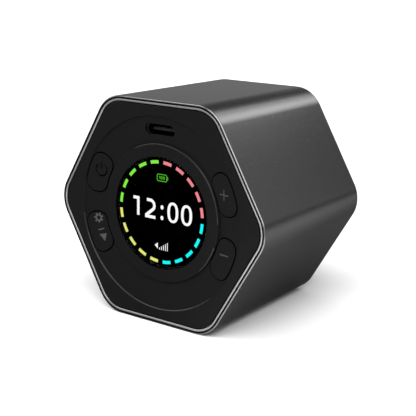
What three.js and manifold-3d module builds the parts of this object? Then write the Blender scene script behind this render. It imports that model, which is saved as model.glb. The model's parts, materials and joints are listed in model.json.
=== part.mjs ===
// Six-sided countdown timer: an aluminium sleeve closed by a dial panel in front and a
// cover behind, holding a round display, four keys, a charging port, a cell and a speaker.
// Millimetres. The part stands on one flat with +Z up, and its dial faces -Y.
import * as THREE from 'three';
import { mergeVertices } from 'three/addons/utils/BufferGeometryUtils.js';
import Module from 'manifold-3d';

// Sleeve
const acrossFlats = 54;
const depth = 44;
const cornerRadius = 8;
const smallestCorner = 0.5;
const sleeveWall = 2;
const edgeChamfer = 0.3;
const lipWall = 0.4;
const frontRebate = 1.2;
const rearRebate = 1.2;

// Fits shared by many pieces
const seatGap = 0.05;
const slideFit = 0.2;
const screwFit = 0.2;
const pilotFit = 0.1;

// Trim ring and dial panel
const trimGap = 0.2;
const trimWidth = 0.65;
const trimSetback = 0.05;
const panelGap = 0.25;
const panelSetback = 0.1;
const panelThickness = 3.1;
const skirtWall = 1;
const skirtLength = 4.8;

// Dish round the display, with its sunken channel and raised disc
const dishRim = 2.3;
const dishStep = 0.35;
const dishDraft = 0.2;
const channelWidth = 6.6;
const discDrop = 1;
const discRim = 3;
const discDraft = 0.3;
const channelDip = 0.5;

// Display stack
const windowGap = 0.15;
const windowSetback = 0.2;
const windowThickness = 0.5;
const tapeThickness = 0.15;
const tapeWidth = 0.45;
const ledgeWidth = 0.65;
const displayShoulderWidth = 2.1;
const displayThickness = 1.2;
const backlightMargin = 0.2;
const backlightThickness = 2.2;
const backlightLegRadius = 1;
const backlightLegInset = 2.5;
const flexWidth = 8;
const flexThickness = 0.3;
const flexRun = 1.4;
const flexBend = 1;
const flexSocketWidth = 10;
const flexSocketHeight = 3;
const flexSocketRise = 1.1;

// Keys and the switches behind them
const keyAngle = THREE.MathUtils.degToRad(22);
const keyHalfSpan = THREE.MathUtils.degToRad(14.5);
const keyGap = 0.18;
const keyCorner = 2.6;
const keyRise = 0.2;
const keyFlange = 0.5;
const keyFlangeGap = 0.25;
const keyFlangeThickness = 0.9;
const keyPostRadius = 1.3;
const keyPostLength = 0.65;
const keyTravel = 0.3;
const plungerRadius = 1.2;
const plungerFit = 0.15;
const plungerReach = 0.9;
const plungerDepth = 1.8;
const switchSide = 4.5;
const switchHeight = 3.2;

// Charging port
const portWidth = 8.34;
const portHeight = 2.56;
const portShellWall = 0.3;
const portFit = 0.15;
const portSetback = 0.2;
const portLipGap = 0.1;
const tongueWidth = 6.69;
const tongueThickness = 0.7;
const tongueSetback = 0.8;
const portBlockLength = 1.5;

// Board, its parts and its screws
const boardGap = 0.8;
const boardThickness = 1.2;
const boltInset = 4.4;
const bossWall = 1.35;
const pilotDepth = 4.2;
const screwRadius = 0.95;
const screwHeadRadius = 1.8;
const screwHeadHeight = 1.2;
const screwTipGap = 0.4;
const screwSlotWidth = 0.5;
const screwSlotDepth = 0.6;
const screwSlotMargin = 0.7;
const controllerSide = 7;
const controllerHeight = 0.9;
const controllerX = 6;
const controllerY = 4;
const sensorSide = 3;
const sensorHeight = 0.95;
const sensorX = -8;
const sensorY = 6;
const chargerWidth = 4.9;
const chargerLength = 3.9;
const chargerHeight = 1.5;
const chargerX = -6;
const chargerY = -7;
const crystalWidth = 3.2;
const crystalLength = 2.5;
const crystalHeight = 0.8;
const crystalX = 13;
const crystalY = -3;

// Plugs and leads
const plugWidth = 5;
const plugLength = 3;
const plugHeight = 3.3;
const plugFit = 0.2;
const socketWall = 0.5;
const socketBase = 0.7;
const socketHeight = 2.6;
const socketMargin = 1.8;
const leadRadius = 0.45;
const leadPitch = 1.4;
const leadEndGap = 0.3;
const leadReach = 3.5;
const leadWindowMargin = 0.5;
const speakerLeadSwing = 3;

// Inner frame and cell
const frameStandoff = 4.6;
const framePlate = 1.5;
const frameSeat = 2;
const cellWidth = 25;
const cellThickness = 5.5;
const cellCorner = 2;
const cellFit = 0.3;
const foamThickness = 0.5;
const foamMargin = 1;
const ribThickness = 1.2;
const ribLength = 5;
const ribHeight = 3.5;
const ribInset = 4;

// Rear cover and speaker
const coverSetback = 0.3;
const coverThickness = 2.3;
const coverBoss = 1.35;
const coverSeat = 1.85;
const rearPilotDepth = 7;
const rearScrewReach = 6.5;
const grillePitch = 3.4;
const grilleHoleRadius = 0.7;
const grilleRings = 2;
const speakerRadius = 10.2;
const speakerRimHeight = 2.1;
const speakerRimWidth = 0.8;
const speakerBasketHeight = 1.4;
const speakerBasketWall = 0.8;
const speakerFit = 0.3;
const speakerRingWall = 1.2;
const speakerRingHeight = 2.2;
const magnetRadius = 6;
const magnetLength = 3;
const gasketWidth = 1.3;
const gasketThickness = 0.6;
const coneThickness = 0.3;
const coneRise = 0.9;
const coneDrop = 0.2;

// Facet counts
const cornerSteps = 3;
const dialSteps = 48;
const roundSteps = 20;
const bossSteps = 8;
const keySteps = 3;
const smallSteps = 5;
const holeSteps = 4;
const leadSides = 8;
const leadSteps = 12;

// Radii and apothems worked out from the sleeve inward
const faceCount = 6;
const halfFlats = acrossFlats / 2;
const cornerAngle = Math.PI / faceCount;
const innerApothem = halfFlats - sleeveWall;
const rebateApothem = halfFlats - lipWall;
const trimApothem = rebateApothem - trimGap;
const panelApothem = trimApothem - trimWidth - panelGap;
const insertApothem = innerApothem - slideFit;
const boardApothem = innerApothem - boardGap;
const boltRadius = cornerReach(innerApothem) - boltInset;
const bossRadius = screwRadius + pilotFit + bossWall;
const seatRadius = screwHeadRadius + screwFit;
const postRadius = bossRadius;
const footRadius = seatRadius + bossWall / 2;
const dishRadius = panelApothem - dishRim;
const discRadius = dishRadius - channelWidth;
const channelMiddle = (dishRadius + discRadius) / 2;
const windowRadius = discRadius - discRim;
const ledgeRadius = windowRadius - ledgeWidth;
const displayBossRadius = ledgeRadius - slideFit;
const displayRadius = displayBossRadius + displayShoulderWidth;
const backlightRadius = displayRadius + backlightMargin;

// Depths measured back from the front edge of the sleeve
const panelBack = panelSetback + panelThickness;
const channelTop = panelSetback + dishStep;
const discFront = panelSetback + discDrop;
const channelFloor = discFront + channelDip;
const windowFront = discFront + windowSetback;
const windowBack = windowFront + windowThickness;
const tapeFront = windowBack + seatGap;
const tapeBack = tapeFront + tapeThickness;
const ledgeFront = tapeBack + seatGap;
const displayFront = windowBack + seatGap;
const displayShoulder = panelBack + seatGap;
const displayBack = displayShoulder + displayThickness;
const backlightFront = displayBack + seatGap;
const backlightBack = backlightFront + backlightThickness;
const keyFlangeFront = panelBack + keyFlangeGap;
const keyFlangeBack = keyFlangeFront + keyFlangeThickness;
const keyPostEnd = keyFlangeBack + keyPostLength;
const plungerTip = keyPostEnd + seatGap;
const switchFront = plungerTip + plungerReach;
const plungerEnd = switchFront + plungerDepth;
const switchBack = switchFront + switchHeight;
const boardFront = switchBack + seatGap;
const boardBack = boardFront + boardThickness;
const portMouth = channelFloor + portSetback;
const rearOfBoard = boardBack + seatGap;
const frameFront = rearOfBoard + frameStandoff;
const frameBack = frameFront + framePlate;
const boardScrewSeat = rearOfBoard + frameSeat + seatGap;
const boardScrewTip = boardFront - seatGap - pilotDepth + screwTipGap;
const socketFloor = rearOfBoard + socketBase;
const plugFront = socketFloor + seatGap;
const plugBack = plugFront + plugHeight;
const foamFront = frameBack + seatGap;
const foamBack = foamFront + foamThickness;
const cellFront = foamBack + seatGap;
const cellBack = cellFront + cellThickness;
const cellMiddle = (cellFront + cellBack) / 2;
const coverBack = depth - coverSetback;
const coverFront = coverBack - coverThickness;
const coverBossFront = coverFront - coverBoss;
const coverSeatDepth = coverBack - coverSeat;
const rearScrewSeat = coverSeatDepth + seatGap;
const rearScrewTip = coverBossFront - rearScrewReach;
const postEnd = coverBossFront - seatGap;
const gasketBack = coverFront - seatGap;
const gasketFront = gasketBack - gasketThickness;
const basketBack = gasketFront - seatGap;
const basketShoulder = basketBack - speakerRimHeight;
const basketFront = basketShoulder - speakerBasketHeight;
const magnetBack = basketFront + speakerBasketWall;

// Plugs stand near the top and bottom flats, and the cell fills the length between their leads
const socketWidth = plugWidth + 2 * (plugFit + socketWall);
const socketLength = plugLength + 2 * (plugFit + socketWall);
const leadY = innerApothem - socketMargin - socketLength / 2;
const cellLength = 2 * (leadY - leadReach);

// Corners that take the board screws, and the corners between them for the rear screws
const boardBoltAngles = [1, 3, 5].map((corner) => corner * 2 * cornerAngle);
const rearBoltAngles = [0, 2, 4].map((corner) => corner * 2 * cornerAngle);

const wasm = await Module();
wasm.setup();

// Corner radius of a hexagon drawn parallel to the sleeve
function cornerOf(apothem) {
  return Math.max(smallestCorner, cornerRadius - (halfFlats - apothem));
}

// Distance from the centre to the middle of a rounded corner
function cornerReach(apothem) {
  const radius = cornerOf(apothem);
  return (apothem - radius) / Math.cos(cornerAngle) + radius;
}

// Rounded hexagon with flats at top and bottom
function hexagon(apothem) {
  const shape = new THREE.Shape();
  const radius = cornerOf(apothem);
  const centre = (apothem - radius) / Math.cos(cornerAngle);
  for (let corner = 0; corner < faceCount; corner += 1) {
    const angle = corner * 2 * cornerAngle;
    const x = centre * Math.cos(angle);
    const y = centre * Math.sin(angle);
    shape.absarc(x, y, radius, angle - cornerAngle, angle + cornerAngle, false);
  }
  return shape;
}

function disc(radius, x = 0, y = 0) {
  const shape = new THREE.Shape();
  shape.absarc(x, y, radius, 0, 2 * Math.PI, false);
  return shape;
}

function rectangle(width, height, x = 0, y = 0) {
  const shape = new THREE.Shape();
  shape.moveTo(x - width / 2, y - height / 2);
  shape.lineTo(x + width / 2, y - height / 2);
  shape.lineTo(x + width / 2, y + height / 2);
  shape.lineTo(x - width / 2, y + height / 2);
  return shape;
}

function roundedRectangle(width, height, radius, x = 0, y = 0) {
  const shape = new THREE.Shape();
  const right = x + width / 2 - radius;
  const left = x - width / 2 + radius;
  const top = y + height / 2 - radius;
  const bottom = y - height / 2 + radius;
  const quarter = Math.PI / 2;
  shape.absarc(right, bottom, radius, -quarter, 0, false);
  shape.absarc(right, top, radius, 0, quarter, false);
  shape.absarc(left, top, radius, quarter, 2 * quarter, false);
  shape.absarc(left, bottom, radius, 2 * quarter, 3 * quarter, false);
  return shape;
}

// Slot with round ends, as the charging port is
function slot(width, height, x, y) {
  const shape = new THREE.Shape();
  const radius = height / 2;
  const reach = width / 2 - radius;
  shape.absarc(x + reach, y, radius, -Math.PI / 2, Math.PI / 2, false);
  shape.absarc(x - reach, y, radius, Math.PI / 2, 1.5 * Math.PI, false);
  return shape;
}

// Piece of a ring about the x axis, with every corner rounded
function ringSector(inner, outer, halfSpan, corner) {
  const round = Math.min(corner, (outer - inner) / 2 - seatGap);
  const outerCentre = outer - round;
  const innerCentre = inner + round;
  const outerTurn = halfSpan - Math.asin(round / outerCentre);
  const innerTurn = halfSpan - Math.asin(round / innerCentre);
  const quarter = Math.PI / 2;
  const shape = new THREE.Shape();
  const addCorner = (centre, turn, start, end) => {
    shape.absarc(centre * Math.cos(turn), centre * Math.sin(turn), round, start, end, false);
  };
  shape.absarc(0, 0, outer, -outerTurn, outerTurn, false);
  addCorner(outerCentre, outerTurn, outerTurn, halfSpan + quarter);
  addCorner(innerCentre, innerTurn, halfSpan + quarter, innerTurn + 2 * quarter);
  shape.absarc(0, 0, inner, innerTurn, -innerTurn, true);
  addCorner(innerCentre, -innerTurn, 2 * quarter - innerTurn, 3 * quarter - halfSpan);
  addCorner(outerCentre, -outerTurn, -quarter - halfSpan, -outerTurn);
  return shape;
}

// Closed solid from a three.js geometry
function solid(geometry) {
  geometry.deleteAttribute('normal');
  geometry.deleteAttribute('uv');
  const merged = mergeVertices(geometry);
  const corners = merged.index.array;
  const triVerts = [];
  for (let first = 0; first < corners.length; first += 3) {
    const [a, b, c] = corners.slice(first, first + 3);
    if (a !== b && b !== c && c !== a) {
      triVerts.push(a, b, c);
    }
  }
  return new wasm.Manifold(new wasm.Mesh({
    numProp: 3,
    vertProperties: merged.attributes.position.array,
    triVerts: new Uint32Array(triVerts),
  }));
}

// Straight piece between two depths, turned about the dial's axis where asked
function prism(shape, front, back, steps = smallSteps, turn = 0) {
  const options = { depth: back - front, bevelEnabled: false, curveSegments: steps };
  const geometry = new THREE.ExtrudeGeometry(shape, options);
  geometry.translate(0, 0, -back);
  geometry.rotateZ(turn);
  return solid(geometry);
}

// Turned piece from a closed list of radius and depth pairs, running from back to front outside
function turned(profile, steps = roundSteps) {
  const points = profile.map(([radius, at]) => new THREE.Vector2(radius, -at));
  if (profile[0][0] > 0) {
    points.push(points[0].clone());
  }
  const geometry = new THREE.LatheGeometry(points, steps);
  geometry.rotateX(Math.PI / 2);
  return solid(geometry);
}

function polar(radius, angle) {
  return [radius * Math.cos(angle), radius * Math.sin(angle)];
}

function joinAll(solids) {
  return solids.reduce((whole, piece) => whole.add(piece));
}

function cutAll(whole, cutters) {
  return cutters.reduce((rest, cutter) => rest.subtract(cutter), whole);
}

// Space in front of the dish, moved forward by a rise
function dishSpace(rise) {
  const clear = -depth / 2;
  return turned([
    [0, discFront - rise],
    [discRadius, discFront - rise],
    [discRadius + discDraft, channelFloor - rise],
    [dishRadius - dishDraft, channelTop - rise],
    [dishRadius, panelSetback - rise],
    [dishRadius, clear],
    [0, clear],
  ], dialSteps);
}

const timer = new THREE.Group();

// Face frame: x right and y up seen from the front, z toward the viewer from the front edge
const face = new THREE.Group();
face.rotation.x = Math.PI / 2;
face.position.set(0, -depth / 2, halfFlats);
timer.add(face);

function finish(color, roughness, metalness) {
  return new THREE.MeshStandardMaterial({ color, roughness, metalness, flatShading: true });
}

function addPiece(name, shape, material, parent = face) {
  const mesh = shape.getMesh();
  const geometry = new THREE.BufferGeometry();
  geometry.setAttribute('position', new THREE.BufferAttribute(mesh.vertProperties, 3));
  geometry.setIndex(new THREE.BufferAttribute(mesh.triVerts, 1));
  const piece = new THREE.Mesh(geometry, material);
  piece.name = name;
  parent.add(piece);
  return piece;
}

const anodised = () => finish(0x55565b, 0.42, 0.9);
const brightCut = () => finish(0xd4d5d9, 0.2, 1);
const blackPlastic = () => finish(0x161617, 0.6, 0);
const keyPlastic = () => finish(0x1a1a1b, 0.5, 0);
const smokedWindow = () => finish(0x030303, 0.12, 0);
const whitePlastic = () => finish(0xe8e8e4, 0.5, 0);
const tape = () => finish(0x101010, 0.9, 0);
const flexFilm = () => finish(0xb06a1c, 0.5, 0);
const boardGreen = () => finish(0x12492c, 0.5, 0);
const chipBlack = () => finish(0x1c1c1e, 0.55, 0);
const steel = () => finish(0xb9bcc0, 0.32, 1);
const cellWrap = () => finish(0xc3c7cb, 0.38, 0.7);
const foam = () => finish(0x2a2a2c, 0.95, 0);
const redLead = () => finish(0xa81d1a, 0.5, 0);
const blackLead = () => finish(0x141414, 0.5, 0);
const paperCone = () => finish(0x2d2c2a, 0.85, 0);

// Sleeve: chamfered at both ends, with a rebate at each mouth
function sleeve() {
  const options = {
    depth: depth - 2 * edgeChamfer,
    curveSegments: cornerSteps,
    bevelThickness: edgeChamfer,
    bevelSize: edgeChamfer,
    bevelOffset: -edgeChamfer,
    bevelSegments: 1,
  };
  const outside = new THREE.ExtrudeGeometry(hexagon(halfFlats), options);
  outside.translate(0, 0, edgeChamfer - depth);
  return cutAll(solid(outside), [
    prism(hexagon(innerApothem), -depth, 2 * depth, cornerSteps),
    prism(hexagon(rebateApothem), -frontRebate, frontRebate, cornerSteps),
    prism(hexagon(rebateApothem), depth - rearRebate, depth + rearRebate, cornerSteps),
  ]);
}

function trimRing() {
  const back = frontRebate - seatGap;
  const outside = prism(hexagon(trimApothem), trimSetback, back, cornerSteps);
  return outside.subtract(prism(hexagon(trimApothem - trimWidth), -back, 2 * back, cornerSteps));
}

addPiece('outer_sleeve', sleeve(), anodised());
addPiece('front_trim_ring', trimRing(), brightCut());

// Keys: the two on each side sit at the same angle above and below the middle
const keys = [
  { name: 'plus', angle: keyAngle },
  { name: 'power', angle: Math.PI - keyAngle },
  { name: 'settings', angle: Math.PI + keyAngle },
  { name: 'minus', angle: -keyAngle },
];
const keyInner = discRadius + discDraft + keyGap;
const keyOuter = dishRadius - dishDraft - keyGap;

// Outline of a key, grown all round
function keyOutline(grow) {
  const halfSpan = keyHalfSpan + grow / channelMiddle;
  return ringSector(keyInner - grow, keyOuter + grow, halfSpan, keyCorner + grow);
}

// Dial panel: lip in the rebate, plate in the bore, skirt, bosses and openings
function dialPanel() {
  const lipBack = frontRebate - seatGap;
  const bossEnd = boardFront - seatGap;
  const skirtEnd = panelBack + skirtLength;
  const skirt = prism(hexagon(insertApothem), panelSetback, skirtEnd, cornerSteps)
    .subtract(prism(hexagon(insertApothem - skirtWall), panelBack, 2 * skirtEnd, cornerSteps));
  const bosses = boardBoltAngles.map((angle) => (
    prism(disc(bossRadius, ...polar(boltRadius, angle)), channelFloor, bossEnd, bossSteps)
  ));
  const pilots = boardBoltAngles.map((angle) => {
    const outline = disc(screwRadius + pilotFit, ...polar(boltRadius, angle));
    return prism(outline, bossEnd - pilotDepth, 2 * bossEnd);
  });
  const openings = keys.map(({ angle }) => (
    prism(keyOutline(keyGap), -depth, 2 * panelBack, keySteps, angle)
  ));
  const portShell = 2 * (portShellWall + portFit);
  const portSeat = slot(portWidth + portShell, portHeight + portShell, 0, channelMiddle);
  const portLip = 2 * portLipGap;
  const portOpening = slot(portWidth + portLip, portHeight + portLip, 0, channelMiddle);
  const lip = prism(hexagon(panelApothem), panelSetback, lipBack, cornerSteps);
  return cutAll(joinAll([lip, skirt, ...bosses]), [
    dishSpace(0),
    turned([[0, ledgeFront], [windowRadius, ledgeFront], [windowRadius, -depth], [0, -depth]], dialSteps),
    prism(disc(ledgeRadius), -depth, 2 * panelBack, roundSteps),
    prism(portOpening, -depth, 2 * panelBack),
    prism(portSeat, portMouth - portFit, 2 * panelBack),
    ...openings,
    ...pilots,
  ]);
}

addPiece('front_panel', dialPanel(), blackPlastic());

// Key: cap with a face parallel to the channel, flange behind the panel, post to the switch
function keyCap() {
  const cap = prism(keyOutline(0), 0, keyFlangeBack, keySteps).subtract(dishSpace(keyRise));
  const flange = prism(keyOutline(keyFlange), keyFlangeFront, keyFlangeBack, keySteps);
  const post = prism(disc(keyPostRadius, channelMiddle, 0), keyFlangeFront, keyPostEnd);
  return joinAll([cap, flange, post]);
}

function switchBody() {
  const housing = prism(rectangle(switchSide, switchSide, channelMiddle, 0), switchFront, switchBack);
  const well = disc(plungerRadius + plungerFit, channelMiddle, 0);
  return housing.subtract(prism(well, 0, plungerEnd + keyTravel + seatGap));
}

for (const { name, angle } of keys) {
  const station = new THREE.Group();
  station.rotation.z = angle;
  face.add(station);
  const plunger = prism(disc(plungerRadius, channelMiddle, 0), plungerTip, plungerEnd);
  addPiece(`${name}_button`, keyCap(), keyPlastic(), station);
  addPiece(`${name}_switch_body`, switchBody(), chipBlack(), station);
  addPiece(`${name}_switch_plunger`, plunger, whitePlastic(), station);
}

// Display: window, tape, panel with a raised face, backlight on legs, and its flexible tail
function displayPanel() {
  const raised = prism(disc(displayBossRadius), displayFront, displayBack, roundSteps);
  return raised.add(prism(disc(displayRadius), displayShoulder, displayBack, roundSteps));
}

function backlight() {
  const plate = prism(disc(backlightRadius), backlightFront, backlightBack, roundSteps);
  const legs = boardBoltAngles.map((angle) => {
    const [x, y] = polar(backlightRadius - backlightLegInset, angle);
    return prism(disc(backlightLegRadius, x, y), backlightFront, boardFront - seatGap);
  });
  return joinAll([plate, ...legs]);
}

// The tail leaves the display downward, bends back and meets its socket on the board
const flexDepth = (displayShoulder + displayBack) / 2;
const flexTop = -displayRadius - seatGap;
const flexSocketY = flexTop - flexRun - flexBend;
const flexSocketFront = boardFront - seatGap - flexSocketRise;

function flexTail() {
  const half = flexThickness / 2;
  const bendY = flexTop - flexRun;
  const bendDepth = flexDepth + flexBend;
  const end = flexSocketFront - seatGap;
  const shape = new THREE.Shape();
  shape.moveTo(flexTop, flexDepth - half);
  shape.absarc(bendY, bendDepth, flexBend + half, -Math.PI / 2, -Math.PI, true);
  shape.lineTo(flexSocketY - half, end);
  shape.lineTo(flexSocketY + half, end);
  shape.absarc(bendY, bendDepth, flexBend - half, Math.PI, 1.5 * Math.PI, false);
  shape.lineTo(flexTop, flexDepth + half);
  const geometry = new THREE.ExtrudeGeometry(shape, {
    depth: flexWidth,
    bevelEnabled: false,
    curveSegments: cornerSteps,
  });
  const turn = new THREE.Matrix4();
  turn.set(0, 0, -1, flexWidth / 2, 1, 0, 0, 0, 0, -1, 0, 0, 0, 0, 0, 1);
  geometry.applyMatrix4(turn);
  return solid(geometry);
}

const lensRadius = windowRadius - windowGap;
const lens = prism(disc(lensRadius), windowFront, windowBack, roundSteps);
const tapeRing = prism(disc(lensRadius), tapeFront, tapeBack, roundSteps)
  .subtract(prism(disc(lensRadius - tapeWidth), 0, panelBack, roundSteps));
const flexSocket = rectangle(flexSocketWidth, flexSocketHeight, 0, flexSocketY);
addPiece('display_window', lens, smokedWindow());
addPiece('window_tape', tapeRing, tape());
addPiece('display_panel', displayPanel(), smokedWindow());
addPiece('display_backlight', backlight(), whitePlastic());
addPiece('display_flex', flexTail(), flexFilm());
addPiece('flex_socket', prism(flexSocket, flexSocketFront, boardFront - seatGap), whitePlastic());

// Charging port: a drawn shell round an insulator with its tongue
function portShell() {
  const wall = 2 * portShellWall;
  const end = boardFront - seatGap;
  const outside = prism(slot(portWidth + wall, portHeight + wall, 0, channelMiddle), portMouth, end);
  return outside.subtract(prism(slot(portWidth, portHeight, 0, channelMiddle), 0, 2 * end));
}

function portTongue() {
  const fit = 2 * seatGap;
  const end = boardFront - seatGap;
  const block = slot(portWidth - fit, portHeight - fit, 0, channelMiddle);
  const tongue = rectangle(tongueWidth, tongueThickness, 0, channelMiddle);
  return prism(block, end - portBlockLength, end).add(prism(tongue, portMouth + tongueSetback, end));
}

addPiece('usb_shell', portShell(), steel());
addPiece('usb_tongue', portTongue(), chipBlack());

// Board with its screw holes
function board() {
  const holes = boardBoltAngles.map((angle) => (
    prism(disc(screwRadius + screwFit, ...polar(boltRadius, angle)), 0, depth)
  ));
  return cutAll(prism(hexagon(boardApothem), boardFront, boardBack, cornerSteps), holes);
}

function chip(width, length, height, x, y) {
  return prism(rectangle(width, length, x, y), rearOfBoard, rearOfBoard + height);
}

const controller = chip(controllerSide, controllerSide, controllerHeight, controllerX, controllerY);
const sensor = chip(sensorSide, sensorSide, sensorHeight, sensorX, sensorY);
const charger = chip(chargerWidth, chargerLength, chargerHeight, chargerX, chargerY);
const crystal = chip(crystalWidth, crystalLength, crystalHeight, crystalX, crystalY);
addPiece('main_board', board(), boardGreen());
addPiece('controller_chip', controller, chipBlack());
addPiece('motion_sensor', sensor, chipBlack());
addPiece('charger_chip', charger, chipBlack());
addPiece('clock_crystal', crystal, steel());

// Screw with a cross recess, its head toward the back
function screw(seat, tip) {
  const headEnd = seat + screwHeadHeight;
  const slotLength = 2 * (screwHeadRadius - screwSlotMargin);
  const slotFront = headEnd - screwSlotDepth;
  const whole = prism(disc(screwHeadRadius), seat, headEnd)
    .add(prism(disc(screwRadius), tip, headEnd - screwSlotDepth));
  return cutAll(whole, [
    prism(rectangle(slotLength, screwSlotWidth), slotFront, 2 * headEnd),
    prism(rectangle(screwSlotWidth, slotLength), slotFront, 2 * headEnd),
  ]);
}

function addScrews(prefix, angles, seat, tip) {
  angles.forEach((angle, index) => {
    const piece = addPiece(`${prefix}_${index + 1}`, screw(seat, tip), steel());
    piece.position.set(...polar(boltRadius, angle), 0);
  });
}

addScrews('board_screw', boardBoltAngles, boardScrewSeat, boardScrewTip);

// Inner frame: plate behind the board, feet for the board screws, posts for the rear screws
function innerFrame() {
  const plate = prism(hexagon(boardApothem), frameFront, frameBack, cornerSteps);
  const feet = boardBoltAngles.map((angle) => (
    prism(disc(footRadius, ...polar(boltRadius, angle)), rearOfBoard, frameBack, bossSteps)
  ));
  const posts = rearBoltAngles.map((angle) => (
    prism(disc(postRadius, ...polar(boltRadius, angle)), frameFront, postEnd, bossSteps)
  ));
  const sideX = cellWidth / 2 + cellFit + ribThickness / 2;
  const sideY = cellLength / 2 - ribInset - ribLength / 2;
  const endX = cellWidth / 2 - ribInset - ribLength / 2;
  const endY = cellLength / 2 + cellFit + ribThickness / 2;
  const ribs = [];
  for (const right of [-1, 1]) {
    for (const up of [-1, 1]) {
      const side = rectangle(ribThickness, ribLength, right * sideX, up * sideY);
      const end = rectangle(ribLength, ribThickness, right * endX, up * endY);
      ribs.push(prism(side, frameFront, frameBack + ribHeight));
      ribs.push(prism(end, frameFront, frameBack + ribHeight));
    }
  }
  const holes = boardBoltAngles.map((angle) => (
    prism(disc(screwRadius + screwFit, ...polar(boltRadius, angle)), 0, depth)
  ));
  const wells = boardBoltAngles.map((angle) => {
    const outline = disc(seatRadius, ...polar(boltRadius, angle));
    return prism(outline, rearOfBoard + frameSeat, depth, bossSteps);
  });
  const pilots = rearBoltAngles.map((angle) => {
    const outline = disc(screwRadius + pilotFit, ...polar(boltRadius, angle));
    return prism(outline, postEnd - rearPilotDepth, depth);
  });
  const windowWidth = plugWidth + 2 * leadWindowMargin;
  const windowLength = plugLength + 2 * leadWindowMargin;
  const windows = [leadY, -leadY].map((y) => (
    prism(rectangle(windowWidth, windowLength, 0, y), 0, depth)
  ));
  return cutAll(joinAll([plate, ...feet, ...posts, ...ribs]), [
    ...holes,
    ...wells,
    ...pilots,
    ...windows,
  ]);
}

const foamPad = rectangle(cellWidth - 2 * foamMargin, cellLength - 2 * foamMargin);
const cellOutline = roundedRectangle(cellWidth, cellLength, cellCorner);
addPiece('inner_frame', innerFrame(), blackPlastic());
addPiece('cell_foam', prism(foamPad, foamFront, foamBack), foam());
addPiece('battery_cell', prism(cellOutline, cellFront, cellBack, cornerSteps), cellWrap());

// Socket on the back of the board and the plug standing in it
function socket(y) {
  const pocket = rectangle(plugWidth + 2 * plugFit, plugLength + 2 * plugFit, 0, y);
  return prism(rectangle(socketWidth, socketLength, 0, y), rearOfBoard, rearOfBoard + socketHeight)
    .subtract(prism(pocket, socketFloor, depth));
}

function plug(y) {
  return prism(rectangle(plugWidth, plugLength, 0, y), plugFront, plugBack);
}

// Lead along a smooth bend between two points, each with the direction it leaves in
function lead(from, fromPull, to, toPull) {
  const start = new THREE.Vector3(...from);
  const end = new THREE.Vector3(...to);
  const path = new THREE.CubicBezierCurve3(
    start,
    start.clone().add(new THREE.Vector3(...fromPull)),
    end.clone().add(new THREE.Vector3(...toPull)),
    end,
  );
  return solid(new THREE.ExtrudeGeometry(disc(leadRadius), {
    steps: leadSteps,
    curveSegments: leadSides / 2,
    bevelEnabled: false,
    extrudePath: path,
  }));
}

const leadStart = plugBack + seatGap;
const leads = [
  { colour: 'red', x: leadPitch / 2, material: redLead },
  { colour: 'black', x: -leadPitch / 2, material: blackLead },
];

// Battery leads rise from the plug and turn down into the end of the cell
function batteryLead(x) {
  const cellEnd = cellLength / 2 + leadEndGap;
  const back = [0, 0, -(cellMiddle - leadStart)];
  const up = [0, leadY - cellEnd, 0];
  return lead([x, leadY, -leadStart], back, [x, cellEnd, -cellMiddle], up);
}

// Speaker leads run back past the cell and swing in to the speaker's basket
const speakerLeadRadius = (speakerRadius + magnetRadius) / 2;

function speakerLead(x) {
  const end = (basketFront + basketShoulder) / 2 - leadEndGap - leadRadius;
  const back = [0, 0, -(end - speakerLeadSwing - leadStart)];
  const forward = [0, 0, speakerLeadSwing];
  return lead([x, -leadY, -leadStart], back, [x, -speakerLeadRadius, -end], forward);
}

addPiece('battery_socket', socket(leadY), whitePlastic());
addPiece('battery_plug', plug(leadY), whitePlastic());
addPiece('speaker_socket', socket(-leadY), whitePlastic());
addPiece('speaker_plug', plug(-leadY), whitePlastic());
for (const { colour, x, material } of leads) {
  addPiece(`battery_lead_${colour}`, batteryLead(x), material());
  addPiece(`speaker_lead_${colour}`, speakerLead(x), material());
}

// Speaker: gasket, basket, cone and magnet, facing the grille
const coneRadius = speakerRadius - speakerRimWidth - speakerFit;
const magnetHole = magnetRadius + speakerFit;

const gasketRing = prism(disc(speakerRadius), gasketFront, gasketBack, roundSteps / 2)
  .subtract(prism(disc(speakerRadius - gasketWidth), 0, depth, roundSteps / 2));
const basket = turned([
  [magnetHole, basketFront + speakerBasketWall],
  [speakerRadius - speakerRimWidth, basketShoulder + speakerBasketWall],
  [speakerRadius - speakerRimWidth, basketBack],
  [speakerRadius, basketBack],
  [speakerRadius, basketShoulder],
  [magnetHole, basketFront],
]);
const coneRim = basketBack - coneDrop;
const cone = turned([
  [0, coneRim - coneRise],
  [coneRadius / 2, coneRim - coneRise / 2],
  [coneRadius, coneRim],
  [coneRadius, coneRim - coneThickness],
  [coneRadius / 2, coneRim - coneRise / 2 - coneThickness],
  [0, coneRim - coneRise - coneThickness],
]);
addPiece('speaker_gasket', gasketRing, foam());
addPiece('speaker_basket', basket, steel());
addPiece('speaker_cone', cone, paperCone());
addPiece('speaker_magnet', prism(disc(magnetRadius), magnetBack - magnetLength, magnetBack), steel());

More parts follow.
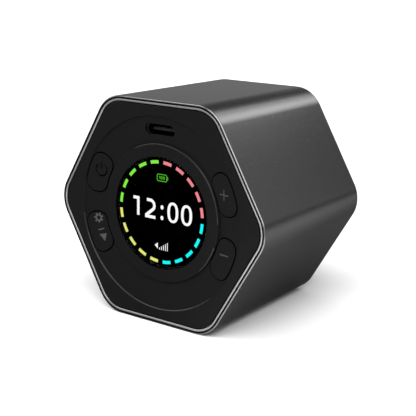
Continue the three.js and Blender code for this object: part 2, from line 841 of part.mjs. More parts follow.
// Rear cover: lip in the rebate, plate in the bore, speaker ring, bosses and a grille of holes
function rearCover() {
  const lipFront = depth - rearRebate + seatGap;
  const plate = prism(hexagon(insertApothem), coverFront, coverBack, cornerSteps);
  const lip = prism(hexagon(rebateApothem - trimGap), lipFront, coverBack, cornerSteps);
  const ringInner = speakerRadius + speakerFit;
  const ringFront = coverFront - speakerRingHeight;
  const ring = prism(disc(ringInner + speakerRingWall), ringFront, coverBack, roundSteps / 2)
    .subtract(prism(disc(ringInner), 0, coverFront, roundSteps / 2));
  const bosses = rearBoltAngles.map((angle) => (
    prism(disc(postRadius, ...polar(boltRadius, angle)), coverBossFront, coverBack, bossSteps)
  ));
  const holes = rearBoltAngles.map((angle) => (
    prism(disc(screwRadius + screwFit, ...polar(boltRadius, angle)), 0, 2 * depth)
  ));
  const wells = rearBoltAngles.map((angle) => (
    prism(disc(seatRadius, ...polar(boltRadius, angle)), coverSeatDepth, 2 * depth, bossSteps)
  ));
  const grille = [];
  for (let row = -grilleRings; row <= grilleRings; row += 1) {
    const inRow = 2 * grilleRings + 1 - Math.abs(row);
    for (let place = 0; place < inRow; place += 1) {
      const x = (place - (inRow - 1) / 2) * grillePitch;
      const y = row * grillePitch * Math.cos(cornerAngle);
      grille.push(prism(disc(grilleHoleRadius, x, y), 0, 2 * depth, holeSteps));
    }
  }
  return cutAll(joinAll([plate, lip, ring, ...bosses]), [...holes, ...wells, ...grille]);
}

addPiece('rear_cover', rearCover(), blackPlastic());
addScrews('rear_screw', rearBoltAngles, rearScrewSeat, rearScrewTip);

export default timer;
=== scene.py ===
import json
import bmesh
import bpy
import numpy as np
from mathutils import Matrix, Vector
from mathutils.geometry import tessellate_polygon


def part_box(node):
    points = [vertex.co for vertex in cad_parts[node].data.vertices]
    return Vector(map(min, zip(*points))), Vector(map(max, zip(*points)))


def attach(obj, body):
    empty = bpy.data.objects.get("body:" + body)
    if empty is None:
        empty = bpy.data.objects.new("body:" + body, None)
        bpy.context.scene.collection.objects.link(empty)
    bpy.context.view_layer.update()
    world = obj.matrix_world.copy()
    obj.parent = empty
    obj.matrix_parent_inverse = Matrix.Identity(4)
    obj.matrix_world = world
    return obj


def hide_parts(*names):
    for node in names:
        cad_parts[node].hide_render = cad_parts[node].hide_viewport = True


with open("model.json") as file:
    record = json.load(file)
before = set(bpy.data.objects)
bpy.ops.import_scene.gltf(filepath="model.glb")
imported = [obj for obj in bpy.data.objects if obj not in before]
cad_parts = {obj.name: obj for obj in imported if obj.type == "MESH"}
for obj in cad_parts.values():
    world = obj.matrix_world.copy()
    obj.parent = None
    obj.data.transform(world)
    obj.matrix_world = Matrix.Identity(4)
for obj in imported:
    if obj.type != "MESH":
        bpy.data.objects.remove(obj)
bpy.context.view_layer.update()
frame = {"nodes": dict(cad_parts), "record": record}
mm = 0.001

# Face coordinates in mm: right, up, and back from the front edge of the sleeve.
sleeveLow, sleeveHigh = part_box("outer_sleeve")
frontY = sleeveLow.y
middleZ = (sleeveLow.z + sleeveHigh.z) / 2
halfFlats = (sleeveHigh.z - sleeveLow.z) / 2 / mm
sleeveDepth = (sleeveHigh.y - sleeveLow.y) / mm

# Rounded hexagon: half the turn from flat to flat, the radius of its corners, and how far out they are centred.
cornerTurn = np.pi / 6
cornerRadius = (halfFlats / np.cos(cornerTurn) - sleeveHigh.x / mm) / (1 / np.cos(cornerTurn) - 1)
cornerCentre = (halfFlats - cornerRadius) / np.cos(cornerTurn)


def reach(node):  # half width, half height, front and back of a node's box
    low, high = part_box(node)
    return (high.x - low.x) / 2 / mm, (high.z - low.z) / 2 / mm, (low.y - frontY) / mm, (high.y - frontY) / mm


def middle(node):  # centre of a node's box, right and up from the dial's centre
    low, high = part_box(node)
    return np.array([(low.x + high.x) / 2 / mm, ((low.z + high.z) / 2 - middleZ) / mm])


print("frame loaded:", len(frame["nodes"]), "nodes")


# Shader maths on one socket: arithmetic adds Math nodes, and node() adds any other node.
class Wire:
    def __init__(self, tree, socket=None):
        self.tree, self.socket = tree, socket

    def node(self, kind, inputs=None, output=0, **settings):
        made = self.tree.nodes.new(kind)
        for key, value in settings.items():
            setattr(made, key, value)
        for key, value in (inputs or {}).items():
            if isinstance(value, Wire):
                self.tree.links.new(value.socket, made.inputs[key])
            else:
                made.inputs[key].default_value = value
        return Wire(self.tree, made.outputs[output] if len(made.outputs) else None)

    def maths(self, operation, first, second):
        return self.node("ShaderNodeMath", {0: first, 1: second}, operation=operation)

    def __add__(self, other):
        return self.maths("ADD", self, other)

    def __sub__(self, other):
        return self.maths("SUBTRACT", self, other)

    def __rsub__(self, other):
        return self.maths("SUBTRACT", other, self)

    def __mul__(self, other):
        return self.maths("MULTIPLY", self, other)

    __radd__, __rmul__ = __add__, __mul__

    def noise(self, scale, detail=2.0):
        return self.node("ShaderNodeTexNoise", {"Vector": self, "Scale": scale, "Detail": detail})

    def stretched(self, scales):
        return self.node("ShaderNodeMapping", {"Vector": self, "Scale": scales})

    def along(self, direction):  # how far this vector goes in a direction
        return self.node("ShaderNodeVectorMath", {0: self, 1: direction}, "Value", operation="DOT_PRODUCT")

    def steps(self, low, high):  # 0 below low, 1 above high, smooth between
        return self.node("ShaderNodeMapRange", {"Value": self, "From Min": low, "From Max": high},
                         interpolation_type="SMOOTHSTEP")

    def between(self, low, high):  # colour from low to high: a Mix node's colours are inputs 6 and 7 and output 2
        return self.node("ShaderNodeMix", {"Factor": self, 6: low, 7: high}, 2, data_type="RGBA")

    def bump(self, strength, distance):
        return self.node("ShaderNodeBump", {"Height": self, "Strength": strength, "Distance": distance})


def tone(grey, tint=(1.0, 1.0, 1.0)):
    return tuple(grey * part for part in tint) + (1.0,)


def pick(values, names):  # several values of a dictionary
    return [values[name] for name in names.split()]


def table(columns, rows):  # a dictionary for each row, which may leave out its last columns
    return {name: dict(zip(columns.split(), row)) for name, row in rows.items()}


# Material of a slot: its finish works out the shader's values from the place on the object.
def makeMaterial(slotName, finish, **look):
    first, *others = slotName.split("_")
    material = bpy.data.materials.new(first + "".join(word.title() for word in others))
    material.use_nodes = True
    material.node_tree.nodes.clear()
    place = Wire(material.node_tree).node("ShaderNodeTexCoord", output="Object")
    shader = place.node("ShaderNodeBsdfPrincipled", finish(place, **look))
    place.node("ShaderNodeOutputMaterial", {"Surface": shader})
    return material


# Grain of the finishes: shine is how far it changes the roughness, and depth is its height in metres.
mattGrain = dict(mottle=8, shine=0.12, depth=0.00003)
metalGrain = dict(fine=2.5, drawnShine=0.06, fineShine=0.04, drawnRelief=0.5, depth=0.00002)


# Moulded and matt finishes: two close tones in soft mottling, a fine grain in roughness and bump.
def matt(place, low, high, roughness, grain, relief, level=0.5, tint=(1, 1, 1)):
    mottle = place.noise(grain / mattGrain["mottle"], detail=3.0)
    fine = place.noise(grain)
    return {
        "Base Color": mottle.between(tone(low, tint), tone(high, tint)),
        "Roughness": roughness - mattGrain["shine"] / 2 + mattGrain["shine"] * fine,
        "Specular IOR Level": level,
        "Normal": fine.bump(relief, mattGrain["depth"]),
    }


# Metal finishes: grain drawn out along one axis, with roughness and bump following it.
def metal(place, low, high, roughness, grain, relief, pull, tint=(1, 1, 1), edge=(1, 1, 1)):
    drawn = place.stretched(pull).noise(grain, detail=3.0)
    fine = place.noise(grain * metalGrain["fine"])
    drawnShine, fineShine = metalGrain["drawnShine"], metalGrain["fineShine"]
    return {
        "Base Color": drawn.between(tone(low, tint), tone(high, tint)),
        "Metallic": 1.0,
        "Roughness": roughness - (drawnShine + fineShine) / 2 + drawnShine * drawn + fineShine * fine,
        "Specular Tint": tone(1.0, edge),
        "Normal": (metalGrain["drawnRelief"] * drawn + fine).bump(relief, metalGrain["depth"]),
    }


# Key plastic that turns to grey paint, a little worn, where the paint attribute is 1.
def printedKey(place, low, high, mottle, roughness, grain, relief, level, ink, wear, leastInk, inkSpread):
    fine = place.noise(grain)
    paint = place.node("ShaderNodeAttribute", output="Fac", attribute_name="paint")
    worn = paint * (leastInk + inkSpread * place.noise(wear, detail=3.0))
    plain = place.noise(mottle, detail=3.0).between(tone(low), tone(high))
    return {
        "Base Color": worn.between(plain, tone(ink)),
        "Roughness": roughness + mattGrain["shine"] * fine,
        "Specular IOR Level": level,
        "Normal": fine.bump(relief, mattGrain["depth"]),
    }


# Board: solder mask over tracks, which show as paler green lines between cells.
def laminate(place, mask, raised, cells, uneven, track, roughness, grain, grainRelief, relief):
    border = place.node("ShaderNodeTexVoronoi", {"Vector": place, "Scale": cells, "Randomness": uneven}, "Distance",
                        feature="DISTANCE_TO_EDGE")
    tracks = 1 - border.steps(*track)
    fine = place.noise(grain)
    return {
        "Base Color": tracks.between(mask, raised),
        "Roughness": roughness + mattGrain["shine"] * fine,
        "Normal": (tracks + grainRelief * fine).bump(relief, mattGrain["depth"]),
    }


# Coated window: clear, with hardly any reflection.
def clearWindow(place, grey, roughness, haze, hazeShine, index):
    return {
        "Base Color": tone(grey),
        "Roughness": roughness + hazeShine * place.noise(haze),
        "IOR": index,
        "Transmission Weight": 1.0,
    }


# Finishes, by slot or by where they are used: low and high are the darkest and lightest grey, grain is in cycles
# per metre, level is the specular level, pull draws the grain out, and edge is a metal's tint at a slant.
mattLooks = table("low high roughness grain relief level tint", {
    "black_moulding": (0.002, 0.003, 0.44, 4200, 0.15, 0.13),
    # the rear plate's finish: a real grain, in a lighter tone than the black moulding as painted light on the dimly
    # lit back
    "grained_moulding": (0.004, 0.007, 0.5, 2600, 0.3, 0.4),
    # painted highlights for the rounds at the dish and disc edges, bright and dim
    "dish_edge": (0.006, 0.0085, 0.26, 4200, 0.1, 0.68),
    "disc_edge": (0.004, 0.006, 0.26, 4200, 0.1, 0.42),
    # painted shade: a near-black, hardly glossy finish for walls that should look like shadowed gaps and grooves
    "shaded_wall": (0.0006, 0.001, 0.7, 4200, 0.15, 0.04),
    "black_tape": (0.002, 0.003, 0.9, 2500, 0.2, 0.05),
    "display_face": (0.0001, 0.0002, 0.7, 2500, 0.02, 0.0),
    "white_moulding": (0.7, 0.78, 0.45, 3200, 0.12, 0.5, (1, 0.99, 0.95)),
    "flex_film": (0.3, 0.36, 0.4, 3000, 0.1, 0.5, (1.4, 0.72, 0.12)),
    "port_insulator": (0.011, 0.014, 0.5, 5200, 0.15, 0.22),
    "chip_package": (0.012, 0.018, 0.55, 6000, 0.25, 0.4),
    "foam": (0.018, 0.03, 0.95, 1800, 0.8, 0.1),
    "red_lead": (0.3, 0.36, 0.42, 4000, 0.08, 0.5, (1.5, 0.06, 0.05)),
    "black_lead": (0.008, 0.011, 0.42, 4000, 0.08),
    "paper_cone": (0.02, 0.034, 0.85, 2400, 0.7, 0.15, (1, 0.97, 0.92)),
})
metalLooks = table("low high roughness grain relief pull tint edge", {
    "anodised_sleeve": (0.066, 0.074, 0.26, 5200, 0.04, (1, 0.3, 1), (1, 1, 1.02), (0.55, 0.55, 0.55)),
    "bright_trim": (0.41, 0.47, 0.2, 1500, 0.05, (1, 0.1, 1), (1, 1, 1.01)),
    "cut_edge": (0.34, 0.4, 0.2, 1500, 0.05, (1, 0.1, 1), (1, 1, 1.01)),
    "steel": (0.5, 0.6, 0.28, 2200, 0.08, (1, 0.2, 1), (1, 0.99, 0.97)),
    "blackened_steel": (0.03, 0.042, 0.4, 2200, 0.08, (1, 0.2, 1), (1, 1, 1), (0.4, 0.4, 0.4)),
    "cell_pouch": (0.5, 0.62, 0.34, 700, 0.35, (1, 1, 1), (0.97, 0.98, 1)),
    "magnet_pot": (0.3, 0.4, 0.35, 2600, 0.12, (1, 1, 1), (1, 1, 0.98)),
})
keyLook = dict(low=0.002, high=0.003, mottle=600, roughness=0.38, grain=5200, relief=0.12, level=0.135, ink=0.05,
               wear=2600, leastInk=0.82, inkSpread=0.3)
boardLook = dict(mask=(0.006, 0.06, 0.024, 1), raised=(0.02, 0.14, 0.05, 1), cells=420, uneven=0.85,
                 track=(0.03, 0.09), roughness=0.32, grain=5200, grainRelief=0.1, relief=0.3)
windowLook = dict(grey=0.97, roughness=0.01, haze=900, hazeShine=0.03, index=1.006)
finishes = {}


def addFinishes(finish, looks):
    finishes.update({name: makeMaterial(name, finish, **look) for name, look in looks.items()})


addFinishes(matt, mattLooks)
addFinishes(metal, metalLooks)
addFinishes(printedKey, {"key_plastic": keyLook})
addFinishes(laminate, {"board_laminate": boardLook})
addFinishes(clearWindow, {"clear_window": windowLook})
print("finishes made:", len(finishes))

# Joining of sheets: the distance in metres under which two points are one, and the turn that makes a sharp edge.
joining = dict(merge=3e-7, sharp=np.radians(35))


def atDepth(loop, back):  # flat points with a depth, one for all or one each
    return np.column_stack([loop, np.broadcast_to(back, len(loop))])


# Sheets of a piece in face coordinates, joined into one mesh.
class Shell:
    def __init__(self):
        self.points, self.quads, self.tris, self.tags, self.paint, self.count = [], [], [], [], [], 0

    def add(self, points, paint):
        self.points.append(points)
        self.paint.append(np.zeros(len(points)) if paint is None else paint.ravel())
        self.count += len(points)

    def sheet(self, grid, around=True, tag=0, paint=None):
        # rows x columns x 3: each four neighbours make a face, and around joins the last column to the first;
        # tag is the faces' material, for all of them, for each row, or for each face
        rows, columns = grid.shape[:2]
        index = self.count + np.arange(rows * columns).reshape(rows, columns)
        index = np.concatenate([index, index[:, :1]], axis=1) if around else index
        quads = np.stack([index[:-1, :-1], index[:-1, 1:], index[1:, 1:], index[1:, :-1]], axis=-1)
        tag = np.asarray(tag)
        self.tags.append(np.broadcast_to(tag[:, None] if tag.ndim == 1 else tag, quads.shape[:2]).ravel())
        self.quads.append(quads.reshape(-1, 4))
        self.add(grid.reshape(-1, 3), paint)

    def flat(self, loops, back):  # flat sheet at one depth: the first loop is its edge, the others are holes
        tris = tessellate_polygon([[Vector((x, y, 0)) for x, y in loop] for loop in loops])
        self.tris.append(self.count + np.array(tris))
        self.add(atDepth(np.concatenate(loops), back), None)

    def make(self, name, slotName, nodes=(), extra=(), body="housing", finish=None):
        points = np.concatenate(self.points)
        world = np.column_stack([points[:, 0] * mm, frontY + points[:, 2] * mm, middleZ + points[:, 1] * mm])
        faces = [face for part in self.quads + self.tris for face in part.tolist()]
        mesh = bpy.data.meshes.new(name)
        mesh.from_pydata(world.tolist(), [], faces)
        for used in (finish or slotName, *extra):
            mesh.materials.append(finishes[used])
        tags = np.concatenate(self.tags + [np.zeros(sum(map(len, self.tris)), int)]).astype(np.int32)
        mesh.polygons.foreach_set("material_index", tags)
        mesh.attributes.new("paint", "FLOAT", "POINT").data.foreach_set("value", np.concatenate(self.paint))
        work = bmesh.new()
        work.from_mesh(mesh)
        bmesh.ops.remove_doubles(work, verts=work.verts, dist=joining["merge"])
        bmesh.ops.recalc_face_normals(work, faces=work.faces)
        work.to_mesh(mesh)
        work.free()
        mesh.shade_smooth()
        mesh.set_sharp_from_angle(angle=joining["sharp"])
        piece = bpy.data.objects.new(name, mesh)
        bpy.context.scene.collection.objects.link(piece)
        piece.modifiers.new("evenNormals", "WEIGHTED_NORMAL").keep_sharp = True
        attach(piece, body)
        if nodes:
            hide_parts(*nodes)


# Section with its corners rounded: each (across, back, radius) corner becomes an arc between its tangent points.
def rounded(corners, closed=False, steps=5):
    spots = np.array([corner[:2] for corner in corners], float)
    parts = []
    for here, corner in enumerate(corners):
        radius = corner[2] if len(corner) > 2 else 0
        inside = closed or 0 < here < len(corners) - 1
        if not radius or not inside:
            parts.append(spots[here][None])
            continue
        before = spots[here - 1] - spots[here]
        after = spots[(here + 1) % len(spots)] - spots[here]
        before, after = before / np.hypot(*before), after / np.hypot(*after)
        half = np.arccos(np.clip(before @ after, -1, 1)) / 2
        centre = spots[here] + (before + after) / np.hypot(*(before + after)) * radius / np.sin(half)
        start = spots[here] + before * radius / np.tan(half) - centre
        end = spots[here] + after * radius / np.tan(half) - centre
        turn = np.pi - 2 * half
        share = np.linspace(0, 1, steps + 1)[:, None]
        parts.append(centre + (np.sin((1 - share) * turn) * start + np.sin(share * turn) * end) / np.sin(turn))
    section = np.concatenate(parts)
    return np.concatenate([section, section[:1]]) if closed else section


def stepMiddles(section):
    return (section[:-1] + section[1:]) / 2


# 1 for each step of a section that lies in the round of a corner, 0 for the others.
def inRound(section, corner, size):
    return (np.hypot(*(stepMiddles(section) - corner).T) < size).astype(int)


def fullTurn(steps):
    return np.linspace(0, 2 * np.pi, steps, endpoint=False)


def heading(angle):  # unit vector at each angle
    return np.stack([np.cos(angle), np.sin(angle)], axis=-1)


def unit(vectors):  # each vector at length 1
    return vectors / np.linalg.norm(vectors, axis=1)[:, None]


def polar(radius, angle, back):  # points from radius, angle and depth arrays
    radius, angle, back = np.broadcast_arrays(radius, angle, back)
    return np.stack([radius * np.cos(angle), radius * np.sin(angle), back], axis=-1)


# Turned surface: each (radius, back) of the section goes round the dial's centre, at the angles given.
def spun(section, angle):
    return polar(section[:, :1], angle, section[:, 1:])


def turned(section, steps=96, centre=(0, 0)):  # once round a centre
    return spun(section, fullTurn(steps)) + (*centre, 0)


# Rail round the hexagon: at a corner the direction turns about its centre, on a flat the centre slides on.
def hexRail(cornerSteps=16, flatSteps=10):
    corner = np.arange(6)[:, None] * 2 * cornerTurn
    here, there = cornerCentre * heading(corner), cornerCentre * heading(corner + 2 * cornerTurn)
    slide = np.linspace(0, 1, flatSteps + 2)[1:-1, None]
    turn = np.linspace(-cornerTurn, cornerTurn, cornerSteps)
    centres = np.concatenate([np.repeat(here, cornerSteps, axis=1), (1 - slide) * here + slide * there], axis=1)
    angles = np.concatenate([corner + turn, np.repeat(corner + cornerTurn, flatSteps, axis=1)], axis=1)
    return centres.reshape(-1, 2), heading(angles.ravel())


railCentres, railDirections = hexRail()


# Section carried round the hexagon: each (inset, back) draws a smaller hexagon with the same corner centres.
def hexBand(section):
    inset, back = section[:, 0][:, None, None], section[:, 1]
    loops = railCentres + (cornerRadius - inset) * railDirections
    return np.concatenate([loops, np.broadcast_to(back[:, None, None], loops.shape[:2] + (1,))], axis=-1)


# Distance from the centre to a rounded hexagon at an inset, along each angle.
def hexRay(angle, inset):
    fold = np.abs((angle + cornerTurn) % (2 * cornerTurn) - cornerTurn)
    radius = cornerRadius - inset
    tangent = np.arctan2(radius * np.sin(cornerTurn), cornerCentre + radius * np.cos(cornerTurn))
    bend = np.minimum(fold, tangent)
    corner = cornerCentre * np.cos(bend) + np.sqrt(radius ** 2 - (cornerCentre * np.sin(bend)) ** 2)
    return np.where(fold > tangent, (halfFlats - inset) / np.cos(cornerTurn - fold), corner)


# Sleeve: its wall section carried round the hexagon, with a bright line cut along the chamfer at both ends.
sleeve = dict(wall=2.0, chamfer=0.3, lip=0.4, rebate=1.2, line=(0.09, 0.21), edge=0.06, chamferEdge=0.03,
              lipEdge=0.02)


def makeSleeve():
    wall, cut, lip, rebate = pick(sleeve, "wall chamfer lip rebate")
    near, deep = sleeve["line"]
    front = [(0, cut, sleeve["edge"]), (near, cut - near), (deep, cut - deep), (cut, 0, sleeve["chamferEdge"]),
             (lip, 0, sleeve["lipEdge"]), (lip, rebate), (wall, rebate, sleeve["edge"])]
    rear = [(inset, sleeveDepth - back, *radius) for inset, back, *radius in reversed(front)]
    section = rounded(front + rear, closed=True)
    inset = stepMiddles(section)[:, 0]
    bright = (inset > near) & (inset < deep)
    shell = Shell()
    shell.sheet(hexBand(section), tag=bright.astype(int))
    shell.make("sleeve_body", "anodised_sleeve", ["outer_sleeve"], ["cut_edge"])


makeSleeve()

# Trim ring: a bright band in the front rebate, and along its outer edge a step whose walls carry painted shade.
trim = dict(width=0.65, step=0.16, stepDepth=0.3, outerEdge=0.08, innerEdge=0.2, foot=0.05)


def makeTrim():
    _, half, front, back = reach("front_trim_ring")
    outer = halfFlats - half
    step, inner, floor = outer + trim["step"], outer + trim["width"], front + trim["stepDepth"]
    section = rounded([(outer, back, trim["foot"]), (outer, floor), (step, floor), (step, front, trim["outerEdge"]),
                       (inner, front, trim["innerEdge"]), (inner, back, trim["foot"])], closed=True)
    inset, depth = stepMiddles(section).T
    # the step is a real groove, and its walls and floor also get the near-black finish as painted shade
    paintedShade = (inset < (step + inner) / 2) & (depth > front + trim["outerEdge"]) & (depth <= floor)
    shell = Shell()
    shell.sheet(hexBand(section), tag=paintedShade.astype(int))
    shell.make("trim_band", "bright_trim", ["front_trim_ring"], ["shaded_wall"])


makeTrim()
print("sleeve and trim made")

# Keys: a ring sector with round corners, at one angle above and below the middle on each side.
key = dict(angle=np.radians(22), inner=17.08, outer=22.82, halfSpan=np.radians(14.5), corner=2.6, gap=0.18, rise=0.2,
           draft=0.09, edge=0.12, flange=0.5, flangeGap=0.25, postRadius=1.3, postLength=0.65, postEdge=0.15,
           rows=130, columns=190)
keyMiddle = (key["inner"] + key["outer"]) / 2
keyAngles = {"plus": key["angle"], "power": np.pi - key["angle"], "settings": np.pi + key["angle"],
             "minus": 2 * np.pi - key["angle"]}


# Outline of a key, grown all round: its inner and outer radius, half span and corner radius and, for its outer and
# inner corners, where the corner's arc is centred, the radius where the radial end meets it, and which side it is on.
def keyShape(grow):
    inner, outer, corner = key["inner"] - grow, key["outer"] + grow, key["corner"] + grow
    span = key["halfSpan"] + grow / keyMiddle
    arcs = [(at, span - np.arcsin(corner / at), np.sqrt(at ** 2 - corner ** 2), beyond)
            for at, beyond in ((outer - corner, np.greater), (inner + corner, np.less))]
    return inner, outer, span, corner, arcs


# Half angle of a key's outline at each radius: a radial end, and an arc of the corner radius at either side of it.
def keyEdge(radius, grow):
    _, _, span, corner, arcs = keyShape(grow)
    edge = np.full_like(radius, span)
    for at, turnAt, tangent, beyond in arcs:
        bend = np.arccos(np.clip((radius ** 2 + at ** 2 - corner ** 2) / (2 * radius * at), -1, 1))
        edge = np.where(beyond(radius, tangent), turnAt + bend, edge)
    return edge


# Distance inside a key's outline: to its arcs and radial ends or, past a corner's centre, to the corner's arc.
def keyInset(radius, turn, grow):
    inner, outer, span, corner, arcs = keyShape(grow)
    lean = np.abs(turn)
    inset = np.minimum(np.minimum(outer - radius, radius - inner), radius * np.sin(span - lean))
    for at, turnAt, tangent, beyond in arcs:
        away = np.hypot(radius * np.cos(lean) - at * np.cos(turnAt), radius * np.sin(lean) - at * np.sin(turnAt))
        inCorner = (lean > turnAt) & beyond(radius * np.cos(span - lean), tangent)
        inset = np.where(inCorner, corner - away, inset)
    return inset


# Depth lost over a rounded edge, at a distance inside the outline.
def roundOff(distance, radius):
    return radius - np.sqrt(radius ** 2 - (radius - np.clip(distance, 0, radius)) ** 2)


# Dial panel: rim, dished channel, raised disc and window ledge. The rounds at the dish and disc edges carry a painted
# highlight, a lighter and glossier finish, on the arcs given in degrees round the dial, where the light falls on
# them.
panel = dict(dish=23.2, channelOut=23.0, channelTop=0.45, channelIn=16.9, channelFloor=1.6, disc=16.6, discFront=1.1,
             ledge=12.95, ledgeFront=2.05, windowGap=0.15, plateBack=3.2, rimFlat=0.5, lipFlat=0.6, lipBack=1.15,
             insertInset=2.2, skirtInset=3.2, skirtBack=8.0, edge=0.12, ledgeEdge=0.04, dishEdge=0.25, polished=0.15,
             openingEdge=0.05, openingFade=0.5, bossRadius=2.4, pilotRadius=1.05, portBlock=np.radians(17),
             dishHighlightArcs=[(200, 297)], dishSoft=[(186, 200), (297, 311)], discHighlightArcs=[(0, 115), (315, 341)])
panelGrid = dict(rows=41, edge=5, blend=5, opening=40, port=50, besidePort=24, betweenKeys=14, foot=70, boss=40)
panelTags = dict(dish_edge=1, shaded_wall=2, disc_edge=3)
port = dict(wall=0.3, fit=0.15, lip=0.1, edge=0.05)


def channelDepth(radius):  # cone from the foot of the disc up to the dish step
    slope = (panel["channelFloor"] - panel["channelTop"]) / (panel["channelOut"] - panel["channelIn"])
    return panel["channelFloor"] - (radius - panel["channelIn"]) * slope


# 1 where an angle lies in one of the spans, given in degrees, and 0 elsewhere.
def onArc(angle, spans):
    turn = np.degrees(angle) % 360
    return np.any([(turn > low) & (turn < high) for low, high in spans], axis=0).astype(int)


tiny = 1e-9  # keeps a direction along the slot from dividing by nought


# Slot with round ends: distance from its centre to the outline along each direction.
def slotRay(direction, halfWidth, halfHeight):
    across, up = np.abs(direction).T
    flat = halfHeight / np.maximum(up, tiny)
    straight = halfWidth - halfHeight
    cap = straight * across + np.sqrt(np.maximum(halfHeight ** 2 - (straight * up) ** 2, 0))
    return np.where(flat * across <= straight, flat, cap)


def makePanel():
    shell = Shell()
    near, far, back, soft = pick(panel, "channelIn channelOut plateBack edge")
    _, halfHeight, front, end = reach("front_panel")
    radius = (near + far) / 2 - (far - near) / 2 * np.cos(np.linspace(0, np.pi, panelGrid["rows"]))
    edge = keyEdge(radius, key["gap"])
    fade = np.clip(np.minimum(radius - near, far - radius) / panel["openingFade"], 0, 1)
    fine = np.linspace(0, 1, panelGrid["edge"]) * panel["openingEdge"]
    innerAngles, outerAngles = [], []  # round the two edges of the channel, shared by all sheets

    def sweep(left, right, leftEdge, rightEdge, columns):
        # bridge between two angles at each radius, with fine columns where it rounds over into a key opening
        start = left[:, None] + (fine if leftEdge else fine[:1]) / radius[:, None]
        end = right[:, None] - (fine[::-1] if rightEdge else fine[:1]) / radius[:, None]
        share = np.linspace(0, 1, columns)[1:-1]
        between = start[:, -1:] + (end[:, :1] - start[:, -1:]) * share
        angle = np.concatenate([start, between, end], axis=1)
        apart = np.full(angle.shape, np.inf)
        apart = np.minimum(apart, radius[:, None] * (angle - left[:, None])) if leftEdge else apart
        apart = np.minimum(apart, radius[:, None] * (right[:, None] - angle)) if rightEdge else apart
        drop = roundOff(apart, panel["openingEdge"]) * fade[:, None]
        shell.sheet(polar(radius[:, None], angle, channelDepth(radius)[:, None] + drop), around=False)
        shell.sheet(polar(radius[:, None], angle, back), around=False)
        innerAngles.append(angle[0, :-1])
        outerAngles.append(angle[-1, :-1])

    def blockLoop(inner, right, outer, left):  # values once round a block of the channel, from its inner arc
        return np.concatenate([inner, right[1:-1], outer[::-1], left[-2:0:-1]])

    def opening(angle):  # wall of a key's opening, from the channel to the back of the plate
        turns = np.linspace(-1, 1, panelGrid["opening"])
        low, high = angle + turns * edge[0], angle + turns * edge[-1]
        depth = channelDepth(radius) + panel["openingEdge"] * fade
        loopRadius = blockLoop(0 * turns + near, radius, 0 * turns + far, radius)
        loopAngle = blockLoop(low, angle + edge, high, angle - edge)
        loopDepth = blockLoop(0 * turns + depth[0], depth, 0 * turns + depth[-1], depth)
        wall = np.stack([polar(loopRadius, loopAngle, loopDepth), polar(loopRadius, loopAngle, back)])
        # painted shade: the opening's wall gets the near-black wall finish
        shell.sheet(wall, tag=panelTags["shaded_wall"])
        innerAngles.append(low[:-1])
        outerAngles.append(high[:-1])

    def portBlock():  # channel round the port: the slot's outline blends out to the block's edge
        turns = np.pi / 2 + np.linspace(-1, 1, panelGrid["port"]) * panel["portBlock"]
        loopRadius = blockLoop(0 * turns + near, radius, 0 * turns + far, radius)
        loopAngle = blockLoop(turns, 0 * radius + turns[-1], turns, 0 * radius + turns[0])
        rim = polar(loopRadius, loopAngle, 0.0)[:, :2]
        centre = middle("usb_shell")
        direction = unit(rim - centre)
        wide, high, mouth, _ = reach("usb_shell")

        def slotAt(grow):
            return centre + direction * slotRay(direction, wide + grow, high + grow)[:, None]

        offsets = np.linspace(0, 1, panelGrid["edge"]) * port["edge"]
        slots = np.stack([slotAt(port["lip"] - port["wall"] + grow) for grow in offsets])
        share = np.linspace(0, 1, panelGrid["blend"])[1:, None, None]
        loops = np.concatenate([slots, slots[-1] * (1 - share) + rim * share])
        drop = np.append(roundOff(offsets, port["edge"]), np.zeros(len(share)))[:, None]
        depth = channelDepth(np.linalg.norm(loops, axis=-1)) + drop
        shell.sheet(np.concatenate([loops, depth[..., None]], axis=-1))
        seat, step = slotAt(port["fit"]), mouth - port["fit"]
        shell.sheet(np.stack([atDepth(loops[0], depth[0]), atDepth(loops[0], step), atDepth(seat, step),
                              atDepth(seat, back), atDepth(rim, back)]))
        innerAngles.append(turns[:-1])
        outerAngles.append(turns[:-1])

    # channel: openings, bridges and the port's block, once round from the plus key
    plus, power, settings, minus = pick(keyAngles, "plus power settings minus")
    portEdge = 0 * radius + panel["portBlock"]
    opening(plus)
    sweep(plus + edge, np.pi / 2 - portEdge, True, False, panelGrid["besidePort"])
    portBlock()
    sweep(np.pi / 2 + portEdge, power - edge, False, True, panelGrid["besidePort"])
    opening(power)
    sweep(power + edge, settings - edge, True, True, panelGrid["betweenKeys"])
    opening(settings)
    sweep(settings + edge, minus - edge, True, True, panelGrid["foot"])
    opening(minus)
    sweep(minus + edge, plus + 2 * np.pi - edge, True, True, panelGrid["betweenKeys"])
    inner, outer = np.concatenate(innerAngles), np.concatenate(outerAngles)

    # raised disc: section from the channel's foot over the disc and the window ledge to the back
    floor, disc, top, ledge, seat, ledgeEdge = pick(panel, "channelFloor disc discFront ledge ledgeFront ledgeEdge")
    bore, brink = reach("display_window")[0] + panel["windowGap"], (disc, top)
    section = rounded([(near, floor), (*brink, panel["dishEdge"]), (bore, top, soft), (bore, seat),
                       (ledge, seat, ledgeEdge), (ledge, back), (near, back)])
    # painted highlight: the round at the disc's brink gets the lighter, glossier finish on the given arcs
    polished = inRound(section, brink, panel["polished"])[:, None]
    tags = panelTags["disc_edge"] * onArc(inner, panel["discHighlightArcs"])
    shell.sheet(spun(section, inner), tag=polished * tags)

